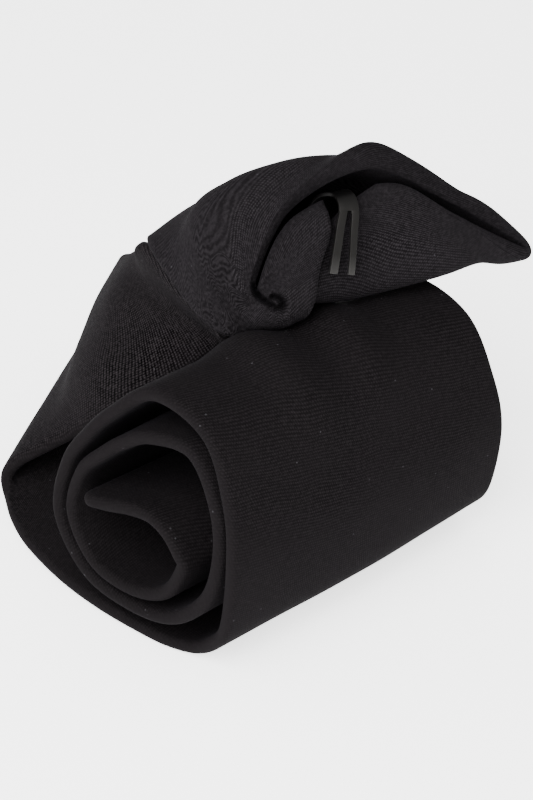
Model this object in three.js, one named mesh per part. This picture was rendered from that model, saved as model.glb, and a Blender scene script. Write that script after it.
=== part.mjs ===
import * as THREE from "three";

// Clip-on tie, rolled up from its pointed end and lying on the roll's side.
// Millimetres. X runs along the roll from its open near end to its far end,
// Y runs from the roll toward the folded corner of the blade, Z is up from the floor.

// Cloth sizes
const BLADE_THICKNESS = 3.2;
const KNOT_WALL = 2.6;
const KNOT_HEM_THICKNESS = 8.4;
const COLLAR_WALL = 1.5;
const FLAP_GAP = 0.5;
const KNOT_INNER_ROOM = 0.3;

// Clip sizes
const CLIP_THICKNESS = 0.9;

// Roll sizes: the near end's axis, and how the roll changes toward its far end
const ROLL_AXIS = { y: 1, z: 33 };
const ROLL_LENGTH = 80;
const ROLL_FAR_SIDE_SHIFT = -3.6;
const ROLL_FAR_SCALE = 0.955;
const END_SLANT = 0.2;
const FAR_END_SLANT = 0.075;

// Middle of the footprint, measured from the roll's near end
const FOOTPRINT_MIDDLE = { x: 44.7, y: 28.72 };

// How finely the curves are cut
const STATION_STEP = 4;
const KNOT_ROUND_STEPS = 64;
const KNOT_LENGTH_STEPS = 20;
const NORMAL_SMOOTHING = 8;

// Neck, rise, corner fold and floor run of the blade, from the knot to the roll.
// Each row is one line across the blade: its near end, its far end, and how far its middle swells.
const RUN = [
  { place: "neck end", near: [51, 11.5, 75], far: [56, 18.5, 77.6], swell: 0 },
  { place: "neck", near: [44.5, 13.5, 71.5], far: [50, 25, 73.6], swell: 0.3 },
  { place: "neck root", near: [37, 14.2, 65.9], far: [41.8, 32.8, 67], swell: 0 },
  { place: "seam", near: [30.9, 7.2, 60.2], far: [37, 40.8, 63.7], swell: 0.5 },
  { place: "shoulder", near: [39, 15.6, 50.2], far: [38.6, 47, 58.3], swell: 2.3 },
  { place: "upper rise", near: [31, 24.8, 39.5], far: [45.2, 56.2, 52.2], swell: 4 },
  { place: "middle rise", near: [19.5, 34, 29.5], far: [49.5, 64.5, 44.8], swell: 5 },
  { place: "lower rise", near: [14, 43.5, 20], far: [53.5, 73, 38], swell: 4 },
  { place: "above the fold", near: [9, 50, 14], far: [58.5, 78.5, 28.5], swell: 2 },
  { place: "fold top", near: [4.5, 54.8, 9.5], far: [60.5, 84, 20], swell: 1 },
  { place: "fold", near: [2, 56.5, 5.6], far: [61, 86, 14], swell: 0.5 },
  { place: "fold bottom", near: [0, 54, 2.6], far: [62, 83, 8], swell: 0.3 },
  { place: "floor start", near: [-3, 47.5, 1.8], far: [64, 75, 3.2], swell: 0 },
  { place: "floor", near: [-5.4, 38, 1.6], far: [67, 60, 1.6], swell: 0 },
  { place: "floor", near: [-6.3, 24, 1.6], far: [71, 38, 1.6], swell: 0 },
  { place: "floor", near: [-5.3, 11, 1.6], far: [74.5, 16, 1.6], swell: 0 },
  { place: "floor end", near: [-3, -1, 1.6], far: [77, -4, 1.6], swell: 0 },
];

// Where the blade leaves the floor and starts to wrap: middle of its thickness at the near end.
const LIFT_OFF = [
  { y: -8, z: 1.6, near_x: -1, far_x: 79 },
  { y: -13.7, z: 2.5, near_x: 1.4, far_x: 80 },
  { y: -19, z: 7.3, near_x: 2.3, far_x: 80.5 },
  { y: -23.2, z: 15, near_x: 2.4, far_x: 80.6 },
];

// Distance from the roll's axis to the middle of each wrap, by direction.
// 0 faces the folded corner, 90 faces up, 180 faces away from the folded corner.
const WRAPS = [
  { direction: 180, outer: 26.2, inner: 22.3, swell: 0 },
  { direction: 150, outer: 26.8, inner: 22.7, swell: 0 },
  { direction: 120, outer: 30.5, inner: 23.7, swell: 0.6 },
  { direction: 90, outer: 28.6, inner: 18.2, swell: 0.4 },
  { direction: 60, outer: 21.7, inner: 14.9, swell: 0.6 },
  { direction: 30, outer: 20.1, inner: 14.7, swell: 1.2 },
  { direction: 0, outer: 22.8, inner: 18.2, swell: 0.5 },
  { direction: -30, outer: 27.4, inner: 22.9, swell: 0 },
  { direction: -60, outer: 27.6, inner: 23.5, swell: 0 },
  { direction: -90, outer: 25.0, inner: 20.9, swell: 0 },
  { direction: -120, outer: 24.5, inner: 18.7, swell: 0 },
  { direction: -150, outer: 23.5, inner: 15.2, swell: 0 },
];

// The free tongue inside the roll and the blade's pointed end behind it.
const TONGUE = [
  { y: -11.2, z: 28.4, near_x: 0, far_x: 84 },
  { y: -7.6, z: 32, near_x: 0, far_x: 84 },
  { y: -2, z: 33, near_x: 0, far_x: 84 },
  { y: 4, z: 31.8, near_x: -1, far_x: 84 },
  { y: 10, z: 29.8, near_x: -2.5, far_x: 84 },
  { y: 14.8, z: 28.6, near_x: -3.5, far_x: 84 },
  { y: 17, z: 26, near_x: 0, far_x: 82 },
  { y: 16.8, z: 22, near_x: 5, far_x: 78 },
  { y: 13.8, z: 19, near_x: 10, far_x: 73 },
  { y: 9.6, z: 17.2, near_x: 15, far_x: 68 },
  { y: 4.6, z: 16.8, near_x: 20, far_x: 63 },
  { y: -0.4, z: 17.8, near_x: 25, far_x: 58 },
  { y: -4, z: 20.8, near_x: 30, far_x: 53 },
  { y: -5.2, z: 25, near_x: 35, far_x: 48 },
  { y: -4.4, z: 27.4, near_x: 38, far_x: 45 },
];

// Hoops of the knot's inner face from its mouth toward its narrow end, evenly spaced.
// right and left are its side folds; f_ is the front face over the top, b_ the back face over the roll.
const HOOPS = [
  {
    place: "mouth",
    right: [93.5, -19.2, 69.3], f_right: [82.4, -7.4, 78.6],
    f_top: [68.3, 3.1, 88.2], f_left: [50, 9.2, 82.6],
    left: [38.3, 6.9, 69.6], b_left: [50, 8.7, 81.4],
    b_top: [70.2, 1.4, 85.3], b_right: [81.4, -7.5, 77.2],
  },
  {
    place: "behind the hem",
    right: [91.4, -13, 66.2], f_right: [78.6, -1.8, 80.2],
    f_top: [60, 12, 87.8], f_left: [44.6, 13.8, 80.6],
    left: [37.6, 6.8, 67.8], b_left: [45.8, 3.2, 73.4],
    b_top: [60.9, 1.2, 77], b_right: [79.3, -9.7, 72.6],
  },
  {
    place: "contact with the roll",
    right: [88.6, -4.4, 67.6], f_right: [73.5, 7.4, 79],
    f_top: [54.3, 18.1, 85.6], f_left: [41.2, 18.3, 78.2],
    left: [36, 6.8, 66.2], b_left: [44.7, 0.4, 69.4],
    b_top: [60.2, -2.8, 66.5], b_right: [79, -9.8, 67.6],
  },
  {
    place: "middle",
    right: [79, 15.6, 67.8], f_right: [63.4, 17.4, 77.8],
    f_top: [47.6, 24.3, 81.5], f_left: [37.8, 20.4, 74.8],
    left: [34.5, 7.3, 64.1], b_left: [41.2, 7.4, 67.5], b_top: [54, 7.4, 63.4], b_right: [69, 8.4, 66.2],
  },
  {
    place: "root",
    right: [55.8, 36.8, 68.2], f_right: [50, 32.3, 73.3],
    f_top: [40.9, 28.4, 75.2], f_left: [35.2, 19.8, 70.2],
    left: [32.4, 7.2, 62.2], b_left: [37, 14, 62.9], b_top: [43, 22, 61.2], b_right: [50.8, 31, 63.5],
  },
];
// The last hoop is the blade's own section at these places in RUN, opened by these sizes.
const COLLAR_PLACE = { near: 2.9, far: 2.95 };
const COLLAR_SIDE_ROOM = 1.3;
const COLLAR_FACE_ROOM = 2.3;
const HOOP_POINTS = ["right", "f_right", "f_top", "f_left", "left", "b_left", "b_top", "b_right"];

// Where the two flaps of the knot end on its back, counted in eighths of the hoop from its right fold.
// The left flap runs past the left fold; the right flap is counted the other way round.
const FLAP_ENDS = [
  { place: "mouth", left_flap: 5.34, right_flap: 2.14 },
  { place: "behind the hem", left_flap: 5.5, right_flap: 2.8 },
  { place: "contact with the roll", left_flap: 5.05, right_flap: 3.3 },
  { place: "middle", left_flap: 4.95, right_flap: 3.35 },
  { place: "root", left_flap: 4.95, right_flap: 3.3 },
  { place: "collar", left_flap: 4.9, right_flap: 3.25 },
];

// Middle line of the clip from its base inside the knot, over the hook, to the prong tips.
const CLIP_LINE = [
  { place: "base", at: [52.8, 6.6, 74.6] },
  { place: "inner leg", at: [54.9, 7.5, 78.4] },
  { place: "inner leg", at: [56.9, 8, 81.4] },
  { place: "inner leg", at: [58.4, 7.2, 83.8] },
  { place: "hook", at: [59.6, 4.9, 85.3] },
  { place: "hook", at: [59.2, 2.2, 85.4] },
  { place: "outer leg", at: [57.9, -0.2, 83.7] },
  { place: "outer leg", at: [56, -1.8, 81.2] },
  { place: "outer leg", at: [54, -3.4, 76.9] },
  { place: "tips", at: [52.3, -4.6, 72.8] },
];
// Across the clip at each place along it: outer edges and slot edges, from its middle line.
const CLIP_WIDTHS = [
  { place: "base", left: 2.6, slot: 0.4, right: 2.6 },
  { place: "hook", left: 2.1, slot: 0.4, right: 2.1 },
  { place: "outer leg", left: 2.2, slot: 0.5, right: 2.1 },
  { place: "tips", left: 3.0, slot: 1.2, right: 2.6 },
];
const CLIP_CROSSWISE = [0.93, -0.36, 0.02];
const CLIP_SLOT_START = 0.66;
const CLIP_STEPS = 44;

const PURPLE_BLACK = 0x1f1d20;
const DARK_METAL = 0x3a3937;

// Small helpers
const lerp = (a, b, t) => a + (b - a) * t;
const vector = (values) => new THREE.Vector3(...values);

// Smooth curve value through equally weighted rows, t from 0 to rows - 1.
function splineValue(values, t) {
  const last = values.length - 1;
  const i = Math.min(Math.floor(t), last - 1);
  const f = t - i;
  const at = (k) => values[Math.max(0, Math.min(last, k))];
  const [a, b, c, d] = [at(i - 1), at(i), at(i + 1), at(i + 2)];
  const bend = 2 * a - 5 * b + 4 * c - d;
  const twist = 3 * b - a - 3 * c + d;
  return 0.5 * (2 * b + (c - a) * f + bend * f ** 2 + twist * f ** 3);
}

// Value of a table column, t from 0 at the first row to 1 at the last.
function column(rows, name, t) {
  const values = rows.map((row) => row[name]);
  const place = t * (rows.length - 1);
  if (Array.isArray(values[0])) {
    return vector([0, 1, 2].map((axis) => splineValue(values.map((value) => value[axis]), place)));
  }
  return splineValue(values, place);
}

// A point of the roll, given at its near end, carried along the roll to x.
function rollPoint(y, z, x) {
  const share = x / ROLL_LENGTH;
  const scale = lerp(1, ROLL_FAR_SCALE, share);
  return vector([
    x,
    ROLL_AXIS.y + (y - ROLL_AXIS.y) * scale + ROLL_FAR_SIDE_SHIFT * share,
    z * scale + (1 - scale) * BLADE_THICKNESS / 2,
  ]);
}

// The lines across the blade, from the neck to the pointed end.
function bladeLines() {
  const lines = RUN.map((row) => ({ near: vector(row.near), far: vector(row.far), swell: row.swell }));
  const addRollLine = (row) => lines.push({
    near: rollPoint(row.y, row.z, row.near_x),
    far: rollPoint(row.y, row.z, row.far_x),
    swell: row.swell ?? 0,
  });
  LIFT_OFF.forEach(addRollLine);
  const addWrap = (wrap, farX) => WRAPS.forEach((row) => {
    const angle = THREE.MathUtils.degToRad(row.direction);
    const y = ROLL_AXIS.y + row[wrap] * Math.cos(angle);
    const z = ROLL_AXIS.z + row[wrap] * Math.sin(angle);
    const rise = 0.84 * (z - ROLL_AXIS.z);
    const near_x = END_SLANT * (rise - 0.54 * y);
    const far_x = farX - FAR_END_SLANT * (rise + 0.54 * y);
    addRollLine({ y, z, near_x, far_x, swell: row.swell });
  });
  addWrap("outer", 79.3);
  addWrap("inner", 82);
  TONGUE.forEach(addRollLine);
  return lines;
}

// Even lines along the blade, worked out from the table rows.
function evenLines(lines, step) {
  const value = (end, axis, t) => splineValue(lines.map((line) => line[end][axis]), t);
  const point = (end, t) => vector(["x", "y", "z"].map((axis) => value(end, axis, t)));
  const middle = (t) => point("near", t).add(point("far", t)).multiplyScalar(0.5);
  const fine = 24 * (lines.length - 1);
  const lengths = [0];
  for (let i = 1; i <= fine; i += 1) {
    const from = (i - 1) / 24;
    const to = i / 24;
    const moved = ["near", "far"].map((end) => point(end, from).distanceTo(point(end, to)));
    const bend = middle(from).distanceTo(middle(to));
    lengths.push(lengths[i - 1] + (moved[0] + moved[1] + bend) / 3);
  }
  const count = Math.round(lengths[fine] / step);
  const result = [];
  let k = 0;
  for (let i = 0; i <= count; i += 1) {
    const wanted = lengths[fine] * i / count;
    while (k < fine - 1 && lengths[k + 1] < wanted) {
      k += 1;
    }
    const t = (k + (wanted - lengths[k]) / (lengths[k + 1] - lengths[k])) / 24;
    result.push({
      near: point("near", t),
      far: point("far", t),
      swell: splineValue(lines.map((line) => line.swell), t),
    });
  }
  return result;
}

// A closed skin over a grid of section loops, with both ends capped.
function loftLoops(loops) {
  const positions = [];
  const index = [];
  const round = loops[0].length;
  loops.forEach((loop) => loop.forEach((p) => positions.push(p.x, p.y, p.z)));
  for (let i = 0; i < loops.length - 1; i += 1) {
    for (let j = 0; j < round; j += 1) {
      const a = i * round + j;
      const b = i * round + (j + 1) % round;
      index.push(a, b, b + round, a, b + round, a + round);
    }
  }
  const cap = (loop, start, flip) => {
    const half = round / 2;
    for (let j = 0; j < half - 1; j += 1) {
      const [a, b, c, d] = [j, j + 1, round - 2 - j, round - 1 - j].map((k) => start + k);
      const quads = b === c ? [[a, b, d]] : [[a, b, c], [a, c, d]];
      quads.forEach((tri) => index.push(...(flip ? tri : tri.reverse())));
    }
  };
  cap(loops[0], 0, false);
  cap(loops[loops.length - 1], (loops.length - 1) * round, true);
  const geometry = new THREE.BufferGeometry();
  geometry.setAttribute("position", new THREE.Float32BufferAttribute(positions, 3));
  geometry.setIndex(index);
  return facingOut(geometry);
}

// Turns all faces over when the enclosed volume comes out negative.
function facingOut(geometry) {
  const p = geometry.getAttribute("position");
  const index = geometry.getIndex().array;
  let volume = 0;
  const at = (i) => new THREE.Vector3().fromBufferAttribute(p, i);
  for (let i = 0; i < index.length; i += 3) {
    volume += at(index[i]).dot(at(index[i + 1]).cross(at(index[i + 2])));
  }
  if (volume < 0) {
    for (let i = 0; i < index.length; i += 3) {
      [index[i + 1], index[i + 2]] = [index[i + 2], index[i + 1]];
    }
  }
  geometry.computeVertexNormals();
  return geometry;
}

// The blade: one padded strip with rounded edges.
function bladeGeometry() {
  const lines = evenLines(bladeLines(), STATION_STEP);
  const half = BLADE_THICKNESS / 2;
  const across = [
    { from_edge: 0, share: 0, rise: 0 },
    { from_edge: 0.3, share: 0, rise: 0.66 },
    { from_edge: 1, share: 0, rise: 1 },
    { from_edge: 0, share: 0.25, rise: 1 },
    { from_edge: 0, share: 0.5, rise: 1 },
    { from_edge: 0, share: 0.75, rise: 1 },
    { from_edge: -1, share: 1, rise: 1 },
    { from_edge: -0.3, share: 1, rise: 0.66 },
    { from_edge: 0, share: 1, rise: 0 },
  ];
  const spot = (line, share) => line.near.clone().lerp(line.far, share);
  const loops = lines.map((line, i) => {
    const before = lines[Math.max(0, i - 1)];
    const after = lines[Math.min(lines.length - 1, i + 1)];
    const wide = line.far.clone().sub(line.near);
    const width = wide.length();
    const side = (row, sign) => {
      const share = row.share + row.from_edge * half / width;
      const along = spot(after, share).sub(spot(before, share));
      const normal = wide.clone().cross(along).normalize();
      const out = line.swell * 4 * share * (1 - share) + sign * row.rise * half;
      const place = spot(line, share).addScaledVector(normal, out);
      place.z = Math.max(0, place.z);
      return place;
    };
    const top = across.map((row) => side(row, 1));
    const bottom = across.slice(1, -1).reverse().map((row) => side(row, -1));
    return [...top, ...bottom];
  });
  return loftLoops(loops);
}

// The hoop that closes the knot round the blade.
function collarHoop() {
  const at = (end, t) => vector([0, 1, 2].map((axis) => splineValue(RUN.map((row) => row[end][axis]), t)));
  const spot = (share, t) => at("near", t).lerp(at("far", t), share);
  const near = at("near", COLLAR_PLACE.near);
  const far = at("far", COLLAR_PLACE.far);
  const wide = far.clone().sub(near);
  const reach = wide.clone().normalize().multiplyScalar(COLLAR_SIDE_ROOM);
  const facePoint = (share, sign) => {
    const t = lerp(COLLAR_PLACE.near, COLLAR_PLACE.far, share);
    const along = spot(share, t + 0.1).sub(spot(share, t - 0.1));
    const normal = wide.clone().cross(along).normalize();
    const swell = splineValue(RUN.map((row) => row.swell), t);
    const out = swell * 4 * share * (1 - share) + sign * COLLAR_FACE_ROOM;
    return spot(share, t).addScaledVector(normal, out).toArray();
  };
  return {
    place: "collar",
    right: far.clone().add(reach).toArray(),
    f_right: facePoint(0.89, 1),
    f_top: facePoint(0.5, 1),
    f_left: facePoint(0.11, 1),
    left: near.clone().sub(reach).toArray(),
    b_left: facePoint(0.11, -1),
    b_top: facePoint(0.5, -1),
    b_right: facePoint(0.89, -1),
  };
}
const ALL_HOOPS = [...HOOPS, collarHoop()];

// A point of a knot hoop's inner face; eighths run from the right fold over the front.
function hoopPoint(along, eighths) {
  const start = Math.floor(eighths);
  const names = [-1, 0, 1, 2].map((k) => HOOP_POINTS[(start + k + 16) % 8]);
  const points = names.map((name) => column(ALL_HOOPS, name, along));
  const place = 1 + eighths - start;
  return vector(["x", "y", "z"].map((axis) => splineValue(points.map((p) => p[axis]), place)));
}

// Evens out a grid of directions by averaging each with its neighbours.
function smoothGrid(grid) {
  const copy = grid.map((row) => row.map((direction) => direction.clone()));
  grid.forEach((row, i) => row.forEach((direction, j) => {
    const near = [[i - 1, j], [i + 1, j], [i, j - 1], [i, j + 1]];
    near.forEach(([a, b]) => {
      if (copy[a] && copy[a][b]) {
        direction.addScaledVector(copy[a][b], 0.5);
      }
    });
    direction.normalize();
  }));
}

// The knot: one wrapped cloth whose ends overlap on its back.
function knotGeometry() {
  const rings = [];
  for (let i = 0; i <= KNOT_LENGTH_STEPS; i += 1) {
    const along = (i / KNOT_LENGTH_STEPS) ** 1.2;
    const start = -column(FLAP_ENDS, "right_flap", along);
    const end = column(FLAP_ENDS, "left_flap", along);
    const ring = [];
    for (let j = 0; j <= KNOT_ROUND_STEPS; j += 1) {
      ring.push({ along, eighths: lerp(start, end, j / KNOT_ROUND_STEPS), start, end });
    }
    rings.push(ring);
  }
  const middle = rings.map((ring) => ring.map((spot) => hoopPoint(spot.along, spot.eighths)));
  const normals = middle.map((ring, i) => ring.map((point, j) => {
    const round = ring[Math.min(KNOT_ROUND_STEPS, j + 1)].clone().sub(ring[Math.max(0, j - 1)]);
    const up = middle[Math.min(KNOT_LENGTH_STEPS, i + 1)][j].clone().sub(middle[Math.max(0, i - 1)][j]);
    return round.cross(up).normalize();
  }));
  for (let pass = 0; pass < NORMAL_SMOOTHING; pass += 1) {
    smoothGrid(normals);
  }
  const surface = (sign) => middle.map((ring, i) => ring.map((point, j) => {
    const spot = rings[i][j];
    const overFrom = 8 + spot.start;
    const over = THREE.MathUtils.smoothstep(spot.eighths, overFrom - 0.7, overFrom);
    const rounding = 0.5 + 0.5 * THREE.MathUtils.smoothstep(spot.along, 0, 0.04);
    const hem = rounding * (1 - THREE.MathUtils.smoothstep(spot.along, 0.02, 0.15));
    const front = THREE.MathUtils.smoothstep(spot.eighths, 0.15, 1)
      * (1 - THREE.MathUtils.smoothstep(spot.eighths, 0.9, 3.8));
    const wall = lerp(KNOT_WALL, COLLAR_WALL, THREE.MathUtils.smoothstep(spot.along, 0.75, 1));
    const thickness = lerp(wall, KNOT_HEM_THICKNESS, hem * front);
    const out = KNOT_INNER_ROOM + over * (wall + FLAP_GAP) + (sign > 0 ? thickness : 0);
    return point.clone().addScaledVector(normals[i][j], -out);
  }));
  return sheetGeometry(surface(1), surface(-1));
}

// A closed skin between two matching grids of points.
function sheetGeometry(top, bottom) {
  const rows = top.length;
  const columns = top[0].length;
  const positions = [];
  [top, bottom].forEach((grid) => grid.flat().forEach((p) => positions.push(p.x, p.y, p.z)));
  const at = (layer, i, j) => layer * rows * columns + i * columns + j;
  const index = [];
  const quad = (a, b, c, d) => index.push(a, b, c, a, c, d);
  for (let i = 0; i < rows - 1; i += 1) {
    for (let j = 0; j < columns - 1; j += 1) {
      quad(at(0, i, j), at(0, i, j + 1), at(0, i + 1, j + 1), at(0, i + 1, j));
      quad(at(1, i, j), at(1, i + 1, j), at(1, i + 1, j + 1), at(1, i, j + 1));
    }
  }
  for (let j = 0; j < columns - 1; j += 1) {
    quad(at(0, 0, j), at(1, 0, j), at(1, 0, j + 1), at(0, 0, j + 1));
    quad(at(0, rows - 1, j), at(0, rows - 1, j + 1), at(1, rows - 1, j + 1), at(1, rows - 1, j));
  }
  for (let i = 0; i < rows - 1; i += 1) {
    quad(at(0, i, 0), at(0, i + 1, 0), at(1, i + 1, 0), at(1, i, 0));
    const last = columns - 1;
    quad(at(0, i, last), at(1, i, last), at(1, i + 1, last), at(0, i + 1, last));
  }
  const geometry = new THREE.BufferGeometry();
  geometry.setAttribute("position", new THREE.Float32BufferAttribute(positions, 3));
  geometry.setIndex(index);
  return facingOut(geometry);
}

// The clip: one bent strip, forked below its hook.
function clipGeometry() {
  const spots = [];
  for (let i = 0; i <= CLIP_STEPS; i += 1) {
    const t = i / CLIP_STEPS;
    const at = (k) => column(CLIP_LINE, "at", Math.min(1, Math.max(0, k)));
    const along = at(t + 0.01).sub(at(t - 0.01)).normalize();
    const crosswise = vector(CLIP_CROSSWISE);
    crosswise.addScaledVector(along, -crosswise.dot(along)).normalize();
    const outward = along.clone().cross(crosswise);
    const width = (name) => column(CLIP_WIDTHS, name, t);
    const offsets = [-width("left"), -width("slot"), width("slot"), width("right")];
    spots.push([1, -1].map((sign) => offsets.map((offset) => at(t)
      .addScaledVector(crosswise, offset)
      .addScaledVector(outward, sign * CLIP_THICKNESS / 2))));
  }
  const positions = [];
  spots.flat(2).forEach((p) => positions.push(p.x, p.y, p.z));
  const index = [];
  const quad = (a, b, c, d) => index.push(a, b, c, a, c, d);
  const at = (i, layer, j) => (i * 2 + layer) * 4 + j;
  const filled = (i, j) => i >= 0 && i < CLIP_STEPS && j >= 0 && j < 3
    && !(j === 1 && i >= CLIP_SLOT_START * CLIP_STEPS);
  for (let i = 0; i < CLIP_STEPS; i += 1) {
    for (let j = 0; j < 3; j += 1) {
      if (filled(i, j)) {
        quad(at(i, 0, j), at(i, 0, j + 1), at(i + 1, 0, j + 1), at(i + 1, 0, j));
        quad(at(i, 1, j), at(i + 1, 1, j), at(i + 1, 1, j + 1), at(i, 1, j + 1));
        if (!filled(i, j - 1)) {
          quad(at(i, 0, j), at(i + 1, 0, j), at(i + 1, 1, j), at(i, 1, j));
        }
        if (!filled(i, j + 1)) {
          quad(at(i, 0, j + 1), at(i, 1, j + 1), at(i + 1, 1, j + 1), at(i + 1, 0, j + 1));
        }
        if (!filled(i - 1, j)) {
          quad(at(i, 0, j), at(i, 1, j), at(i, 1, j + 1), at(i, 0, j + 1));
        }
        if (!filled(i + 1, j)) {
          quad(at(i + 1, 0, j), at(i + 1, 0, j + 1), at(i + 1, 1, j + 1), at(i + 1, 1, j));
        }
      }
    }
  }
  const geometry = new THREE.BufferGeometry();
  geometry.setAttribute("position", new THREE.Float32BufferAttribute(positions, 3));
  geometry.setIndex(index);
  return facingOut(geometry);
}

function piece(name, geometry, colour, metalness, roughness) {
  const material = new THREE.MeshStandardMaterial({ color: colour, metalness, roughness });
  const mesh = new THREE.Mesh(geometry, material);
  mesh.name = name;
  return mesh;
}

const tie = new THREE.Group();
tie.name = "clip_on_tie";
tie.add(piece("blade", bladeGeometry(), PURPLE_BLACK, 0, 0.8));
tie.add(piece("knot", knotGeometry(), PURPLE_BLACK, 0, 0.8));
tie.add(piece("clip", clipGeometry(), DARK_METAL, 0.8, 0.4));

// The origin is on the floor, at the middle of the tie's footprint.
tie.children.forEach((mesh) => mesh.geometry.translate(-FOOTPRINT_MIDDLE.x, -FOOTPRINT_MIDDLE.y, 0));

export default tie;
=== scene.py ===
import math

import bpy
import numpy as np
from mathutils import Matrix, Vector


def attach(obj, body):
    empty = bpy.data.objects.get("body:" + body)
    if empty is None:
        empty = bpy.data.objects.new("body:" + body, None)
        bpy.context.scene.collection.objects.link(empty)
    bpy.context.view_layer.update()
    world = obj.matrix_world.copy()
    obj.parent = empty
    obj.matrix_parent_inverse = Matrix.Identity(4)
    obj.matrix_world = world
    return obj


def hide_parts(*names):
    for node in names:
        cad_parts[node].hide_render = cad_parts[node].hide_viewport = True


# The clip-on tie's looks. Lengths in the tables are millimetres, measured from the roll's near end.
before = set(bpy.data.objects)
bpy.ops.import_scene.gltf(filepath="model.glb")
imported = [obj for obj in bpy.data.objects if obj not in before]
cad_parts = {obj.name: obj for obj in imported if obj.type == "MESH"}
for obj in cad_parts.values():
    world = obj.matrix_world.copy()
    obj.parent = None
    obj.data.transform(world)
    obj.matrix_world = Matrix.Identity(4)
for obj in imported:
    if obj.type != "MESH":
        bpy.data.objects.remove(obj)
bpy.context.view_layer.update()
MM = 0.001
FOOTPRINT_MIDDLE = np.array([44.7, 28.72, 0.0])

# Cloth and clip sizes
BLADE_THICKNESS = 3.2
KNOT_WALL = 2.6
KNOT_HEM_THICKNESS = 8.4
COLLAR_WALL = 1.5
FLAP_GAP = 0.5
KNOT_INNER_ROOM = 0.3
EDGE_INSET = 0.6
CLIP_THICKNESS = 0.9
ROLL_AXIS_Y, ROLL_AXIS_Z = 1.0, 33.0
ROLL_LENGTH, ROLL_FAR_SIDE_SHIFT, ROLL_FAR_SCALE = 80.0, -3.6, 0.955
END_SLANT, FAR_END_SLANT = 0.2, 0.075
OUTER_WRAP_FAR_X, INNER_WRAP_FAR_X = 79.3, 82

# Lines across the blade from the knot to the roll: near end, far end, swell of the middle, wrinkle share
RUN = [
    ((51, 11.5, 75), (56, 18.5, 77.6), 0, 0),
    ((44.5, 13.5, 71.5), (50, 25, 73.6), 0.3, 0),
    ((37, 14.2, 65.9), (41.8, 32.8, 67), 0, 0),
    ((30.9, 7.2, 60.2), (37, 40.8, 63.7), 0.5, 0),
    ((39, 15.6, 50.2), (38.6, 47, 58.3), 2.3, 0.5),
    ((31, 24.8, 39.5), (45.2, 56.2, 52.2), 4, 1),
    ((19.5, 34, 29.5), (49.5, 64.5, 44.8), 5, 1),
    ((14, 43.5, 20), (53.5, 73, 38), 4, 1),
    ((9, 50, 14), (58.5, 78.5, 28.5), 2, 0.6),
    ((4.5, 54.8, 9.5), (60.5, 84, 20), 1, 0.3),
    ((2, 56.5, 5.6), (61, 86, 14), 0.5, 0.1),
    ((0, 54, 2.6), (62, 83, 8), 0.3, 0),
    ((-3, 47.5, 1.8), (64, 75, 3.2), 0, 0),
    ((-5.4, 38, 1.6), (67, 60, 1.6), 0, 0),
    ((-6.3, 24, 1.6), (71, 38, 1.6), 0, 0),
    ((-5.3, 11, 1.6), (74.5, 16, 1.6), 0, 0),
    ((-3, -1, 1.6), (77, -4, 1.6), 0, 0),
]
# Where the blade leaves the floor: y, z, near x, far x
LIFT_OFF = [(-8, 1.6, -1, 79), (-13.7, 2.5, 1.4, 80), (-19, 7.3, 2.3, 80.5), (-23.2, 15, 2.4, 80.6)]
# Wraps of the roll: direction, outer distance, inner distance, swell
WRAPS = [
    (180, 26.2, 22.3, 0),
    (150, 26.8, 22.7, 0),
    (120, 30.5, 23.7, 0.6),
    (90, 28.6, 18.2, 0.4),
    (60, 21.7, 14.9, 0.6),
    (30, 20.1, 14.7, 1.2),
    (0, 22.8, 18.2, 0.5),
    (-30, 27.4, 22.9, 0),
    (-60, 27.6, 23.5, 0),
    (-90, 25.0, 20.9, 0),
    (-120, 24.5, 18.7, 0),
    (-150, 23.5, 15.2, 0),
]
# The free tongue and the pointed end: y, z, near x, far x
TONGUE = [
    (-11.2, 28.4, 0, 84),
    (-7.6, 32, 0, 84),
    (-2, 33, 0, 84),
    (4, 31.8, -1, 84),
    (10, 29.8, -2.5, 84),
    (14.8, 28.6, -3.5, 84),
    (17, 26, 0, 82),
    (16.8, 22, 5, 78),
    (13.8, 19, 10, 73),
    (9.6, 17.2, 15, 68),
    (4.6, 16.8, 20, 63),
    (-0.4, 17.8, 25, 58),
    (-4, 20.8, 30, 53),
    (-5.2, 25, 35, 48),
    (-4.4, 27.4, 38, 45),
]
# Hoops of the knot's inner face from its mouth to its root, each point in turn:
# right fold, front right, front top, front left, left fold, back left, back top, back right
HOOPS = [
    [(93.5, -19.2, 69.3), (82.4, -7.4, 78.6), (68.3, 3.1, 88.2), (50, 9.2, 82.6),
     (38.3, 6.9, 69.6), (50, 8.7, 81.4), (70.2, 1.4, 85.3), (81.4, -7.5, 77.2)],
    [(91.4, -13, 66.2), (78.6, -1.8, 80.2), (60, 12, 87.8), (44.6, 13.8, 80.6),
     (37.6, 6.8, 67.8), (45.8, 3.2, 73.4), (60.9, 1.2, 77), (79.3, -9.7, 72.6)],
    [(88.6, -4.4, 67.6), (73.5, 7.4, 79), (54.3, 18.1, 85.6), (41.2, 18.3, 78.2),
     (36, 6.8, 66.2), (44.7, 0.4, 69.4), (60.2, -2.8, 66.5), (79, -9.8, 67.6)],
    [(79, 15.6, 67.8), (63.4, 17.4, 77.8), (47.6, 24.3, 81.5), (37.8, 20.4, 74.8),
     (34.5, 7.3, 64.1), (41.2, 7.4, 67.5), (54, 7.4, 63.4), (69, 8.4, 66.2)],
    [(55.8, 36.8, 68.2), (50, 32.3, 73.3), (40.9, 28.4, 75.2), (35.2, 19.8, 70.2),
     (32.4, 7.2, 62.2), (37, 14, 62.9), (43, 22, 61.2), (50.8, 31, 63.5)],
]
COLLAR_NEAR_PLACE, COLLAR_FAR_PLACE = 2.9, 2.95
COLLAR_SIDE_ROOM, COLLAR_FACE_ROOM = 1.3, 2.3
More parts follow.
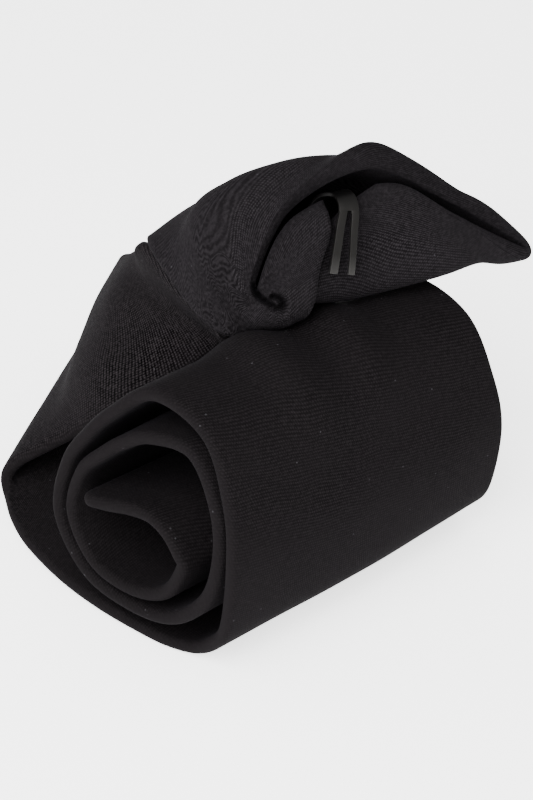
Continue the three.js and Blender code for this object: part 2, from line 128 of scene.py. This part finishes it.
# Where the flaps end at each hoop, in eighths: left flap, right flap
FLAP_ENDS = [(5.34, 2.14), (5.5, 2.8), (5.05, 3.3), (4.95, 3.35), (4.95, 3.3), (4.9, 3.25)]
# Line of the small curled groove below the mouth's left corner, with its half width and depth; the half
# width also bounds the painted shade that darkens the groove's colour
CURL_GROOVE = [
    (37.2, 6.6, 70.8), (36.6, 4.6, 70.1), (36.4, 2.2, 70), (36.4, -0.4, 69.8), (37, -1.9, 69.3),
    (37.8, -2.5, 70), (37.9, -1.8, 71.2), (37.5, -0.3, 71.6), (37.2, 0.9, 71.3),
]
GROOVE_REACH, GROOVE_DEPTH = 1.1, 1.9
# Middle line of the clip and its widths: left edge, slot edge, right edge
CLIP_LINE = [
    (52.8, 6.6, 74.6), (54.9, 7.5, 78.4), (56.9, 8, 81.4), (58.4, 7.2, 83.8), (59.6, 4.9, 85.3),
    (59.2, 2.2, 85.4), (57.9, -0.2, 83.7), (56, -1.8, 81.2), (54, -3.4, 76.9), (52.3, -4.6, 72.8),
]
CLIP_WIDTHS = [(2.6, 0.4, 2.6), (2.1, 0.4, 2.1), (2.2, 0.5, 2.1), (3.0, 1.2, 2.6)]
CLIP_CROSSWISE = np.array([0.93, -0.36, 0.02])
CLIP_SLOT_START = 0.66

# Weave: distance between its rows and columns. It shows less on the roll, and fades between these lines.
WEAVE_ROW, WEAVE_COLUMN = 0.7, 0.56
ROLL_WEAVE_DEPTH, WEAVE_FADE = 0.35, (11, 15)
EDGE_WEAVE_DEPTH = 0.2

# Soft swells of the roll: middle line of the run, reach in lines, middle x, reach, size.
# The first two are its top under the knot, the third is its lower side.
SOFT_SWELLS = [(23.7, 2.1, 31, 10, 2.3), (23.7, 2.1, 49.5, 8.5, 2.1), (19.8, 2.2, 42, 44, 0.9)]
# The blade's far edge flares out just under the knot, between these lines of the run
FLARE_START, FLARE_FULL_FROM, FLARE_FULL_TO, FLARE_END = 2.9, 3.12, 3.5, 4.5
FLARE_SIZE = 2.6
WRINKLE_SIZE = 0.75
# Wrinkles of the rise: turns along the blade, turns across it, start, size
WRINKLES = [(0.115, 0.05, 0.6, 0.45), (0.21, -0.14, 2.1, 0.28), (0.09, -0.31, 4.0, 0.22)]
# The left flap's edge draws in between these shares of the knot's length, by this many eighths
WAIST_START, WAIST_END, WAIST_SIZE = 0.14, 0.4, 0.1
# Extra fullness of the hem's right side: middle and reach in eighths, and size
HEM_SWELL_MIDDLE, HEM_SWELL_REACH, HEM_SWELL_SIZE = 1.45, 0.8, 1.1


def spline(values, t):
    """Uniform Catmull-Rom curve through rows of values, at the places t."""
    values = np.asarray(values, float)
    last = len(values) - 1
    t = np.asarray(t, float)
    i = np.minimum(np.floor(t).astype(int), last - 1)
    f = (t - i)[(...,) + (None,) * (values.ndim - 1)]
    a, b, c, d = (values[np.clip(i + k, 0, last)] for k in (-1, 0, 1, 2))
    return 0.5 * (2 * b + (c - a) * f + (2 * a - 5 * b + 4 * c - d) * f**2 + (3 * b - a - 3 * c + d) * f**3)


def smoothstep(x, low, high):
    t = np.clip((x - low) / (high - low), 0, 1)
    return t * t * (3 - 2 * t)


def unit(v):
    return v / np.maximum(np.linalg.norm(v, axis=-1, keepdims=True), 1e-9)


def roll_point(y, z, x):
    share = x / ROLL_LENGTH
    scale = 1 + (ROLL_FAR_SCALE - 1) * share
    return (
        x,
        ROLL_AXIS_Y + (y - ROLL_AXIS_Y) * scale + ROLL_FAR_SIDE_SHIFT * share,
        z * scale + (1 - scale) * BLADE_THICKNESS / 2,
    )


def blade_lines():
    """Near ends, far ends, swells and wrinkle shares of the lines across the blade."""
    near, far, swell, wrinkle = ([row[k] for row in RUN] for k in range(4))

    def add(y, z, near_x, far_x, bulge, crease):
        near.append(roll_point(y, z, near_x))
        far.append(roll_point(y, z, far_x))
        swell.append(bulge)
        wrinkle.append(crease)

    for y, z, near_x, far_x in LIFT_OFF:
        add(y, z, near_x, far_x, 0, 0.15)
    for wrap, far_end in ((1, OUTER_WRAP_FAR_X), (2, INNER_WRAP_FAR_X)):
        for row in WRAPS:
            angle = math.radians(row[0])
            y = ROLL_AXIS_Y + row[wrap] * math.cos(angle)
            z = ROLL_AXIS_Z + row[wrap] * math.sin(angle)
            rise = 0.84 * (z - ROLL_AXIS_Z)
            near_x = END_SLANT * (rise - 0.54 * y)
            far_x = far_end - FAR_END_SLANT * (rise + 0.54 * y)
            add(y, z, near_x, far_x, row[3], 0.25)
    for y, z, near_x, far_x in TONGUE:
        add(y, z, near_x, far_x, 0, 0.1)
    return [np.array(v, float) for v in (near, far, swell, wrinkle)]


def mesh_object(name, points, faces, uvs, material, weave_depth=1.0, crease=0.0):
    """A smooth mesh from points in millimetres; each point has a texture place, weave depth and crease,
    where crease is a share of painted shade that darkens the colour.
    """
    mesh = bpy.data.meshes.new(name)
    places = (np.asarray(points, float) - FOOTPRINT_MIDDLE) * MM
    mesh.from_pydata(places.tolist(), [], faces.tolist() if hasattr(faces, "tolist") else faces)
    layer = mesh.uv_layers.new(name="cloth_place")
    index = np.zeros(len(mesh.loops), np.int32)
    mesh.loops.foreach_get("vertex_index", index)
    layer.data.foreach_set("uv", np.asarray(uvs, np.float32)[index].ravel())
    for label, values in (("weave_depth", weave_depth), ("crease", crease)):
        shares = mesh.attributes.new(label, "FLOAT", "POINT")
        shares.data.foreach_set("value", np.broadcast_to(values, len(mesh.vertices)).astype(np.float32))
    mesh.polygons.foreach_set("use_smooth", np.ones(len(mesh.polygons), bool))
    mesh.materials.append(material)
    mesh.validate()
    made = bpy.data.objects.new(name, mesh)
    bpy.context.scene.collection.objects.link(made)
    return made


def volume(points, faces):
    """Signed volume of a closed skin of quads."""
    p = np.asarray(points)[np.asarray(faces)]
    a, b, c, d = (p[:, k] for k in range(4))
    return float((a * np.cross(b, c)).sum() + (a * np.cross(c, d)).sum()) / 6


def edge_steps(radius, count):
    """Distances from a rounded edge and the share of the thickness there."""
    angle = np.linspace(0, math.pi / 2, count)
    return radius * (1 - np.cos(angle)), np.sin(angle)


def bump_share(x, middle, reach):
    """1 at the middle, falling softly to 0 at the reach."""
    return np.cos(np.pi / 2 * np.clip((x - middle) / reach, -1, 1)) ** 2


def grid_quads(rows, cols, closed):
    """Quads over a grid of points; a closed grid joins its last column to its first."""
    i, j = np.meshgrid(np.arange(rows - 1), np.arange(cols if closed else cols - 1), indexing="ij")
    k = (j + 1) % cols
    corners = (i * cols + j, i * cols + k, (i + 1) * cols + k, (i + 1) * cols + j)
    return np.stack(corners, axis=-1).reshape(-1, 4)


def build_blade(material):
    """The padded strip from its neck in the knot to its pointed end in the roll."""
    near, far, swell, wrinkle = blade_lines()
    last = len(near) - 1
    fine = np.linspace(0, last, 24 * last + 1)
    fine_near, fine_far = spline(near, fine), spline(far, fine)
    followed = (fine_near, fine_far, (fine_near + fine_far) / 2)
    moved = [np.linalg.norm(np.diff(line, axis=0), axis=1) for line in followed]
    length = np.concatenate([[0], np.cumsum(sum(moved) / 3)])
    count = int(length[-1] / 0.95)
    t = np.interp(np.linspace(0, length[-1], count + 1), length, fine)
    along_mm = np.linspace(0, length[-1], count + 1)[:, None]
    a, b = spline(near, t)[:, None], spline(far, t)[:, None]
    flare = smoothstep(t, FLARE_START, FLARE_FULL_FROM) * (1 - smoothstep(t, FLARE_FULL_TO, FLARE_END))
    b = b + unit(b - a) * FLARE_SIZE * flare[:, None, None]
    bulge, crease = spline(swell, t)[:, None], spline(wrinkle, t)[:, None]
    width = np.linalg.norm(b - a, axis=2)
    half = BLADE_THICKNESS / 2
    away, rise = edge_steps(half, 7)
    middle = np.linspace(0, 1, 45)[1:-1]
    room = width - 2 * half
    share = np.concatenate([
        away[None] / width,
        (half + middle[None] * room) / width,
        1 - away[::-1][None] / width,
    ], axis=1)
    lift = np.concatenate([rise, np.ones(len(middle)), rise[::-1]])[None]
    base = a * (1 - share[..., None]) + b * share[..., None]
    along = np.gradient(base, axis=0)
    for _ in range(2):
        along[1:-1] = (along[:-2] + 2 * along[1:-1] + along[2:]) / 4
    normal = unit(np.cross(b - a, along))
    across_mm = (share - 0.5) * width
    waves = sum(size * np.sin(u * along_mm + v * across_mm + start) for u, v, start, size in WRINKLES)
    inside = np.sin(np.pi * np.clip(share, 0, 1)) ** 0.5
    out = bulge * 4 * share * (1 - share) + WRINKLE_SIZE * crease * waves * inside
    for line, line_reach, middle_x, reach, size in SOFT_SWELLS:
        round_way = bump_share(t, line, line_reach)[:, None]
        out = out + size * round_way * bump_share(base[..., 0], middle_x, reach)
    top = base + normal * (out + lift * half)[..., None]
    bottom = base + normal * (out - lift * half)[..., None]
    ring = np.concatenate([top, bottom[:, 1:-1][:, ::-1]], axis=1)
    ring[..., 2] = np.maximum(ring[..., 2], 0)
    place = np.concatenate([across_mm, across_mm[:, 1:-1][:, ::-1]], axis=1) / 100
    rows, cols = ring.shape[:2]
    uvs = np.stack([place, np.broadcast_to(along_mm / 100, place.shape)], axis=2).reshape(-1, 2)
    faces = grid_quads(rows, cols, closed=True)
    points = ring.reshape(-1, 3)
    if volume(points, faces) < 0:
        faces = faces[:, ::-1]
    caps = []
    half_ring = cols // 2
    for start, flip in ((0, False), ((rows - 1) * cols, True)):
        for q in range(half_ring):
            quad = [start + (q + n) % cols for n in (0, 1)]
            quad += [start + (cols - q - 1) % cols, start + (cols - q) % cols]
            corners = list(dict.fromkeys(quad))
            if len(corners) > 2:
                caps.append(corners[::-1] if flip else corners)
    depth = 1 - (1 - ROLL_WEAVE_DEPTH) * smoothstep(t, *WEAVE_FADE)
    flatness = np.concatenate([lift[0], lift[0, 1:-1][::-1]])
    depth = np.outer(depth, EDGE_WEAVE_DEPTH + (1 - EDGE_WEAVE_DEPTH) * flatness**3).ravel()
    return mesh_object("blade_cloth", points, faces.tolist() + caps, uvs, material, depth)


def collar_hoop():
    """The hoop that closes the knot round the blade."""
    rows = np.array([[row[0], row[1]] for row in RUN], float)
    swells = np.array([row[2] for row in RUN], float)

    def spot(share, t):
        a, b = spline(rows, np.array([t]))[0]
        return a * (1 - share) + b * share

    near, far = spot(0, COLLAR_NEAR_PLACE), spot(1, COLLAR_FAR_PLACE)
    wide = far - near
    reach = unit(wide) * COLLAR_SIDE_ROOM

    def face(share, sign):
        t = COLLAR_NEAR_PLACE + (COLLAR_FAR_PLACE - COLLAR_NEAR_PLACE) * share
        normal = unit(np.cross(wide, spot(share, t + 0.1) - spot(share, t - 0.1)))
        swell = float(spline(swells, np.array([t]))[0])
        return spot(share, t) + normal * (swell * 4 * share * (1 - share) + sign * COLLAR_FACE_ROOM)

    return [
        far + reach, face(0.89, 1), face(0.5, 1), face(0.11, 1),
        near - reach, face(0.11, -1), face(0.5, -1), face(0.89, -1),
    ]


def hoop_points(along, eighths):
    """Points of the knot's inner face; along from 0 at the mouth to 1 at the collar."""
    hoops = np.array([*HOOPS, collar_hoop()], float)
    rings = spline(hoops, along * (len(hoops) - 1))
    start = np.floor(eighths).astype(int)
    f = (eighths - start)[..., None]
    rows = np.arange(len(along))[:, None]
    a, b, c, d = (rings[rows, (start + k + 16) % 8] for k in (-1, 0, 1, 2))
    return 0.5 * (2 * b + (c - a) * f + (2 * a - 5 * b + 4 * c - d) * f**2 + (3 * b - a - 3 * c + d) * f**3)


def edged(count, edge):
    """Shares from 0 to 1 that lie closer together near both ends."""
    inner = np.linspace(edge, 1 - edge, count)
    steps = edge * (1 - np.cos(np.linspace(0, math.pi / 2, 9)))[:-1]
    return np.concatenate([steps, inner, 1 - steps[::-1]])


def build_knot(material):
    """The hollow knot: one wrapped cloth whose flaps overlap on its back."""
    first = 0.055 * (1 - np.cos(np.linspace(0, math.pi / 2, 10)))[:-1]
    along = np.concatenate([first, 0.055 + 0.945 * edged(95, 0.012)])
    along = np.unique(np.round(along, 6))
    shares = edged(250, 0.012)[None]
    ends = spline(np.array(FLAP_ENDS, float), along * 5)
    start, end = -ends[:, 1:2], ends[:, 0:1]
    waist = bump_share(along, (WAIST_START + WAIST_END) / 2, (WAIST_END - WAIST_START) / 2)
    end = end - WAIST_SIZE * waist[:, None]
    eighths = start + (end - start) * shares
    inner = hoop_points(along, eighths)
    round_way = np.gradient(inner, axis=1)
    long_way = np.gradient(inner, axis=0)
    normal = unit(np.cross(round_way, long_way))
    for _ in range(60):
        for axis in (0, 1):
            rolled = np.swapaxes(normal, 0, axis).copy()
            middle = rolled.copy()
            middle[1:-1] = rolled[:-2] + 2 * rolled[1:-1] + rolled[2:]
            middle[0] = 2 * rolled[0] + rolled[1]
            middle[-1] = 2 * rolled[-1] + rolled[-2]
            normal = unit(np.swapaxes(middle, 0, axis))
    over = smoothstep(eighths, 8 + start - 0.7, 8 + start)
    hem = 1 - smoothstep(along, 0.02, 0.15)[:, None]
    front = smoothstep(eighths, 0.15, 1) * (1 - smoothstep(eighths, 0.9, 3.8))
    wall = KNOT_WALL + (COLLAR_WALL - KNOT_WALL) * smoothstep(along, 0.75, 1)[:, None]
    thickness = wall + (KNOT_HEM_THICKNESS - wall) * hem * front
    fuller = bump_share(eighths, HEM_SWELL_MIDDLE, HEM_SWELL_REACH)
    thickness = thickness + HEM_SWELL_SIZE * fuller * hem
    step = np.linalg.norm(np.diff(inner, axis=0), axis=2)
    from_mouth = np.concatenate([np.zeros((1, inner.shape[1])), np.cumsum(step, axis=0)])
    to_collar = from_mouth[-1:] - from_mouth
    step = np.linalg.norm(np.diff(inner, axis=1), axis=2)
    from_right = np.concatenate([np.zeros((inner.shape[0], 1)), np.cumsum(step, axis=1)], axis=1)
    to_left = from_right[:, -1:] - from_right
    rise = np.ones_like(thickness)
    inset = np.ones_like(thickness)
    for distance in (from_mouth, to_collar, from_right, to_left):
        t = np.clip(distance / (0.6 * thickness), 0, 1)
        rise = np.minimum(rise, np.sqrt(1 - (1 - t) ** 2))
        t = np.clip(distance / EDGE_INSET, 0, 1)
        inset = np.minimum(inset, np.sqrt(1 - (1 - t) ** 2))
    room = KNOT_INNER_ROOM + over * (wall + FLAP_GAP)
    outer = inner - normal * (room + EDGE_INSET + (thickness - EDGE_INSET) * rise)[..., None]
    groove = spline(CURL_GROOVE, np.linspace(0, len(CURL_GROOVE) - 1, 49))
    away = np.full(outer.shape[:2], np.inf)
    for spot in groove:
        away = np.minimum(away, np.linalg.norm(outer - spot, axis=2))
    outer = outer + normal * (GROOVE_DEPTH * (1 - smoothstep(away, 0.1, GROOVE_REACH)))[..., None]
    within = inner - normal * (room + EDGE_INSET * (1 - inset))[..., None]
    rows, cols = eighths.shape
    skin = [np.linalg.norm(np.diff(outer, axis=axis), axis=2) for axis in (0, 1)]
    lengthwise = np.concatenate([np.zeros((1, cols)), np.cumsum(skin[0], axis=0)])
    across = np.concatenate([np.zeros((rows, 1)), np.cumsum(skin[1], axis=1)], axis=1)
    place = np.stack([across / 100, lengthwise / 100], axis=2).reshape(-1, 2)
    # Painted shade: the groove's colour is darkened towards black by this share, on top of its real depth.
    crease = (1 - smoothstep(away, 0.5, GROOVE_REACH)).ravel()
    crease = np.concatenate([crease, np.zeros_like(crease)])
    points = np.concatenate([outer.reshape(-1, 3), within.reshape(-1, 3)])
    quads = grid_quads(rows, cols, closed=False)
    size = rows * cols
    rim = [(r, 0) for r in range(rows)] + [(rows - 1, c) for c in range(1, cols)]
    rim += [(r, cols - 1) for r in range(rows - 2, -1, -1)] + [(0, c) for c in range(cols - 2, 0, -1)]
    rim = np.array([r * cols + c for r, c in rim])
    following = np.roll(rim, -1)
    walls = np.stack([rim, following, following + size, rim + size], axis=1)
    faces = np.concatenate([quads, quads[:, ::-1] + size, walls])
    if volume(points, faces) < 0:
        faces = faces[:, ::-1]
    return mesh_object("knot_cloth", points, faces, np.concatenate([place, place]), material, crease=crease)


def build_clip(material):
    """The bent strip of metal, forked from its hook to its tips."""
    steps = 120
    t = np.linspace(0, 1, steps + 1)
    line = np.array(CLIP_LINE, float)
    middle = spline(line, t * (len(line) - 1))
    along = unit(np.gradient(middle, axis=0))
    crosswise = unit(CLIP_CROSSWISE - along * (along @ CLIP_CROSSWISE)[:, None])
    outward = np.cross(along, crosswise)
    left, slot, right = spline(np.array(CLIP_WIDTHS, float), t * (len(CLIP_WIDTHS) - 1)).T
    open_from = int(CLIP_SLOT_START * steps)
    grown = np.sqrt(np.clip((t - t[open_from]) / 0.02, 0, 1))
    slot = slot * np.where(t > t[open_from], grown, 1)
    offsets = np.stack([-left, -slot, slot, right], axis=1)
    spread = middle[:, None] + crosswise[:, None] * offsets[..., None]
    raised = outward[:, None] * CLIP_THICKNESS / 2
    points = np.stack([spread + raised, spread - raised], axis=1)
    faces = []

    def at(i, layer, j):
        return (i * 2 + layer) * 4 + j

    def filled(i, j):
        return 0 <= i < steps and 0 <= j < 3 and not (j == 1 and i >= open_from)

    for i in range(steps):
        for j in range(3):
            if not filled(i, j):
                continue
            faces.append((at(i, 0, j), at(i, 0, j + 1), at(i + 1, 0, j + 1), at(i + 1, 0, j)))
            faces.append((at(i, 1, j), at(i + 1, 1, j), at(i + 1, 1, j + 1), at(i, 1, j + 1)))
            if not filled(i, j - 1):
                faces.append((at(i, 0, j), at(i + 1, 0, j), at(i + 1, 1, j), at(i, 1, j)))
            if not filled(i, j + 1):
                faces.append((at(i, 0, j + 1), at(i, 1, j + 1), at(i + 1, 1, j + 1), at(i + 1, 0, j + 1)))
            if not filled(i - 1, j):
                faces.append((at(i, 0, j), at(i, 1, j), at(i, 1, j + 1), at(i, 0, j + 1)))
            if not filled(i + 1, j):
                faces.append((at(i + 1, 0, j), at(i + 1, 0, j + 1), at(i + 1, 1, j + 1), at(i + 1, 1, j)))
    flat = points.reshape(-1, 3)
    if volume(flat, faces) < 0:
        faces = [face[::-1] for face in faces]
    uvs = np.stack([np.tile(offsets, (1, 2)).reshape(-1) / 100, np.repeat(t, 8)], axis=1)
    made = mesh_object("clip_fork", flat, faces, uvs, material)
    bevel = made.modifiers.new("rounded_edges", "BEVEL")
    bevel.width = 0.00022
    bevel.segments = 3
    bevel.limit_method = "ANGLE"
    bevel.angle_limit = math.radians(40)
    return made


def node(tree, kind, **settings):
    made = tree.nodes.new(kind)
    for key, value in settings.items():
        setattr(made, key, value)
    return made


def sums(tree, operation, *values, clamp=False):
    made = node(tree, "ShaderNodeMath", operation=operation, use_clamp=clamp)
    for socket, value in zip(made.inputs, values):
        if isinstance(value, (int, float)):
            socket.default_value = value
        else:
            tree.links.new(value, socket)
    return made.outputs[0]


def mixed(tree, share, first, second):
    """One colour turning into another."""
    made = node(tree, "ShaderNodeMix", data_type="RGBA")
    for socket, value in ((made.inputs[0], share), (made.inputs[6], first), (made.inputs[7], second)):
        if isinstance(value, tuple):
            socket.default_value = (*value, 1)
        elif isinstance(value, (int, float)):
            socket.default_value = value
        else:
            tree.links.new(value, socket)
    return made.outputs[2]


def wave(tree, value, spacing):
    """Even ridges from 0 to 1; the spacing is in millimetres."""
    turn = sums(tree, "SINE", sums(tree, "MULTIPLY", value, 2 * math.pi * 100 / spacing))
    return sums(tree, "MULTIPLY_ADD", turn, 0.5, 0.5)


def noise(tree, place, scale, detail, dimensions="3D"):
    made = node(tree, "ShaderNodeTexNoise", noise_dimensions=dimensions)
    made.inputs["Scale"].default_value = scale
    made.inputs["Detail"].default_value = detail
    tree.links.new(place, made.inputs["Vector"])
    return made.outputs[0]


def cloth_material(name, tone, contrast):
    """Black twill: rows of small crossings, uneven yarn, slow changes of tone, a few specks of lint, and
    painted shade darkening the knot's groove.
    """
    material = bpy.data.materials.new(name)
    material.use_nodes = True
    tree = material.node_tree
    shader = tree.nodes["Principled BSDF"]
    shader.inputs["Roughness"].default_value = 0.78
    shader.inputs["IOR"].default_value = 1.05
    shader.inputs["Sheen Weight"].default_value = 0.006
    shader.inputs["Sheen Roughness"].default_value = 0.45
    shader.inputs["Sheen Tint"].default_value = (0.72, 0.68, 0.8, 1)
    place = node(tree, "ShaderNodeUVMap", uv_map="cloth_place").outputs[0]
    split = node(tree, "ShaderNodeSeparateXYZ")
    tree.links.new(place, split.inputs[0])
    spot = node(tree, "ShaderNodeTexCoord").outputs["Object"]
    depth = node(tree, "ShaderNodeAttribute", attribute_name="weave_depth").outputs["Fac"]
    bend = sums(tree, "MULTIPLY", noise(tree, place, 9, 1, "2D"), 0.012)
    across = sums(tree, "ADD", split.outputs[0], bend)
    slanted = sums(tree, "MULTIPLY_ADD", split.outputs[0], 0.22, split.outputs[1])
    lengthwise = sums(tree, "ADD", slanted, bend)
    rows = wave(tree, lengthwise, WEAVE_ROW)
    columns = wave(tree, sums(tree, "MULTIPLY_ADD", lengthwise, 0.27, across), WEAVE_COLUMN)
    crossings = sums(tree, "MULTIPLY", rows, sums(tree, "MULTIPLY_ADD", columns, 0.8, 0.2))
    fuzz = noise(tree, spot, 1500, 3)
    yarn = sums(tree, "MULTIPLY_ADD", sums(tree, "SUBTRACT", fuzz, 0.5), 1.6, crossings)
    height = sums(tree, "MULTIPLY", yarn, depth)
    bump = node(tree, "ShaderNodeBump")
    bump.inputs["Strength"].default_value = 0.6
    bump.inputs["Distance"].default_value = 0.00018
    tree.links.new(height, bump.inputs["Height"])
    tree.links.new(bump.outputs[0], shader.inputs["Normal"])
    dark = tuple(v * (1 - 0.7 * contrast) for v in tone)
    light = tuple(v * (1 + 2.2 * contrast) for v in tone)
    woven = mixed(tree, sums(tree, "MULTIPLY", yarn, 1, clamp=True), dark, light)
    colour = mixed(tree, depth, tone, woven)
    patch = node(tree, "ShaderNodeMapRange")
    patch.inputs[1].default_value, patch.inputs[2].default_value = 0.35, 0.65
    patch.inputs[3].default_value, patch.inputs[4].default_value = 0.0, 0.35
    tree.links.new(noise(tree, spot, 60, 3), patch.inputs[0])
    colour = mixed(tree, patch.outputs[0], colour, tuple(v * 1.3 for v in tone))
    lint = node(tree, "ShaderNodeTexVoronoi")
    lint.inputs["Scale"].default_value = 420
    tree.links.new(spot, lint.inputs["Vector"])
    near = sums(tree, "LESS_THAN", lint.outputs["Distance"], 0.085)
    parts = node(tree, "ShaderNodeSeparateColor")
    tree.links.new(lint.outputs["Color"], parts.inputs[0])
    rare = sums(tree, "GREATER_THAN", parts.outputs[0], 0.84)
    speck = sums(tree, "MULTIPLY", sums(tree, "MULTIPLY", near, rare), 0.35)
    colour = mixed(tree, speck, colour, (0.05, 0.048, 0.053))
    # Painted shade: the crease share darkens the colour towards black inside the knot's groove.
    crease = node(tree, "ShaderNodeAttribute", attribute_name="crease").outputs["Fac"]
    colour = mixed(tree, sums(tree, "MULTIPLY", crease, 0.85), colour, (0.0008, 0.0007, 0.0008))
    tree.links.new(colour, shader.inputs["Base Color"])
    return material


def clip_material():
    """Dark satin metal, lighter toward the prong tips, with a fine noise in its roughness and bump; the
    hook's darker colour is painted shadow from the hem above it.
    """
    material = bpy.data.materials.new("clip_metal_finish")
    material.use_nodes = True
    tree = material.node_tree
    shader = tree.nodes["Principled BSDF"]
    shader.inputs["Metallic"].default_value = 0.6
    shader.inputs["IOR"].default_value = 1.2
    place = node(tree, "ShaderNodeUVMap", uv_map="cloth_place").outputs[0]
    split = node(tree, "ShaderNodeSeparateXYZ")
    tree.links.new(place, split.inputs[0])
    spot = node(tree, "ShaderNodeTexCoord").outputs["Object"]
    wear = noise(tree, spot, 700, 4)
    # Painted shadow: the hook, which lies in the shade under the hem, is coloured darker than the prongs;
    # this share fades that dark out along the clip.
    hook_painted_shadow_fade = node(tree, "ShaderNodeMapRange")
    hook_painted_shadow_fade.inputs[1].default_value, hook_painted_shadow_fade.inputs[2].default_value = 0.52, 0.64
    tree.links.new(split.outputs[1], hook_painted_shadow_fade.inputs[0])
    tips = node(tree, "ShaderNodeMapRange")
    tips.inputs[1].default_value, tips.inputs[2].default_value = 0.9, 1.0
    tree.links.new(split.outputs[1], tips.inputs[0])
    colour = mixed(tree, hook_painted_shadow_fade.outputs[0], (0.003, 0.0028, 0.0028), (0.010, 0.0095, 0.009))
    colour = mixed(tree, tips.outputs[0], colour, (0.03, 0.029, 0.028))
    tree.links.new(colour, shader.inputs["Base Color"])
    rough = sums(tree, "MULTIPLY_ADD", wear, 0.2, 0.34)
    tree.links.new(rough, shader.inputs["Roughness"])
    bump = node(tree, "ShaderNodeBump")
    bump.inputs["Strength"].default_value = 0.15
    bump.inputs["Distance"].default_value = 0.00003
    tree.links.new(wear, bump.inputs["Height"])
    tree.links.new(bump.outputs[0], shader.inputs["Normal"])
    return material


def floor_material():
    material = bpy.data.materials.new("floor_finish")
    material.use_nodes = True
    shader = material.node_tree.nodes["Principled BSDF"]
    shader.inputs["Base Color"].default_value = (0.97, 0.97, 0.97, 1)
    shader.inputs["Roughness"].default_value = 0.9
    shader.inputs["Specular IOR Level"].default_value = 0.1
    shader.inputs["Emission Color"].default_value = (1, 1, 1, 1)
    shader.inputs["Emission Strength"].default_value = 1.9
    return material


def area_light(name, place, target, size, power, colour=(1, 1, 1)):
    data = bpy.data.lights.new(name, "AREA")
    data.shape = "RECTANGLE"
    data.size, data.size_y = size
    data.energy = power
    data.color = colour
    made = bpy.data.objects.new(name, data)
    made.location = place
    made.rotation_mode = "QUATERNION"
    made.rotation_quaternion = (Vector(target) - Vector(place)).to_track_quat("-Z", "Y")
    bpy.context.scene.collection.objects.link(made)
    return made


# Camera: at the photo's viewing angle, 400 mm from the tie
azimuth, elevation = math.radians(-41), math.radians(38)
back = Vector((
    math.sin(azimuth) * math.cos(elevation),
    -math.cos(azimuth) * math.cos(elevation),
    math.sin(elevation),
))
right = Vector((0, 0, 1)).cross(back).normalized()
up = back.cross(right)
target = (Vector((34.85, -0.38, 45.84)) - Vector(FOOTPRINT_MIDDLE)) * MM
camera_data = bpy.data.cameras.new("camera")
camera_data.lens = 83.7
camera_data.sensor_width = 36
camera_data.clip_start, camera_data.clip_end = 0.01, 20
camera = bpy.data.objects.new("camera", camera_data)
axes = Matrix((right, up, back)).transposed().to_4x4()
camera.matrix_world = Matrix.Translation(target + back * 0.4) @ axes
bpy.context.scene.collection.objects.link(camera)
bpy.context.scene.camera = camera

# Floor and light
floor_mesh = bpy.data.meshes.new("floor")
FLOOR_REACH, FLOOR_DROP = 4.0, 0.0002
floor_signs = ((-1, -1), (1, -1), (1, 1), (-1, 1))
floor_corners = [(x * FLOOR_REACH, y * FLOOR_REACH, -FLOOR_DROP) for x, y in floor_signs]
floor_mesh.from_pydata(floor_corners, [], [(0, 1, 2, 3)])
floor_mesh.materials.append(floor_material())
floor = bpy.data.objects.new("floor", floor_mesh)
bpy.context.scene.collection.objects.link(floor)
world = bpy.data.worlds.new("studio")
world.use_nodes = True
world.node_tree.nodes["Background"].inputs[0].default_value = (1, 1, 1, 1)
world.node_tree.nodes["Background"].inputs[1].default_value = 1.5
bpy.context.scene.world = world
area_light("key_light", (-0.5, -0.2, 0.75), (0, 0, 0.04), (0.6, 0.6), 15)
area_light("fill_light", (0.3, -0.7, 0.5), (0, 0, 0.04), (0.6, 0.6), 0.8)
area_light("end_light", (-0.6, -0.1, 0.16), (-0.04, -0.02, 0.03), (0.4, 0.2), 4)

# The pieces
# Both copies are the same black twill; the knot's copy has a lighter tone as painted light for its
# top-facing faces, and the blade's a darker one.
blade = build_blade(cloth_material("blade_twill", (0.0044, 0.0038, 0.0041), 1.3))
knot = build_knot(cloth_material("knot_twill_painted_lighter", (0.0061, 0.0054, 0.0060), 0.8))
clip = build_clip(clip_material())
for piece, part, slot in ((blade, "blade", "cloth"), (knot, "knot", "cloth"), (clip, "clip", "clip_metal")):
    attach(piece, "root")
    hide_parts(part)
